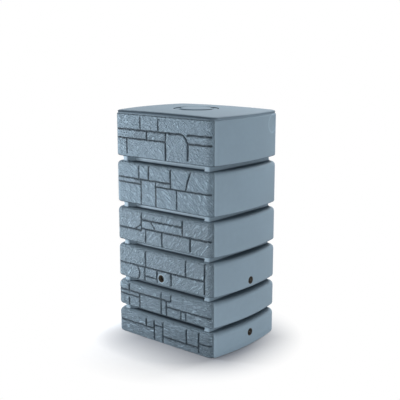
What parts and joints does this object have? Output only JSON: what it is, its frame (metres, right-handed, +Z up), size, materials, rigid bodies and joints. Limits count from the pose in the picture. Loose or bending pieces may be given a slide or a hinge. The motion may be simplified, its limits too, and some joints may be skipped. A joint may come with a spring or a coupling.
{
  "type": "rain barrel",
  "caption": "Tall upright rain barrel, a moulded plastic tank in stacked tiers with a dry-stone front, smooth bowed sides, threaded tap ports and a round screw lid in its crowned top.",
  "frame": {"origin": "centre of the flat base, at the bottom of the bounding box", "axes": "+Z up, the stone-pattern front faces -Y, the smooth side with the two tap ports faces +X"},
  "size_m": [0.6899, 0.528, 1.168],
  "materials": {
    "tank": "fine satin grain, blue grey",
    "lid": "fine satin grain, blue grey",
    "seal": "matt black",
    "insert": "dull, weathered"
  },
  "bodies": {
    "tank": {"tank_shell": "tank", "front_port_insert": "insert", "side_upper_port_insert": "insert", "side_lower_port_insert": "insert"},
    "seal": {"lid_seal": "seal"},
    "lid": {"screw_lid": "lid"}
  },
  "joints": [
    {"name": "lid_rise", "type": "slide", "parent": "tank", "child": "seal", "axis": [0, 0, 1], "range_m": [0, 0.0275]},
    {"name": "lid_turn", "type": "hinge", "parent": "seal", "child": "lid", "pos_m": [0, 0, 1.16], "axis": [0, 0, 1], "range_deg": [0, 810]}
  ],
  "couplings": [
    {"joint": "lid_rise", "follows": "lid_turn", "m_per_rad": 0.0019099}
  ]
}
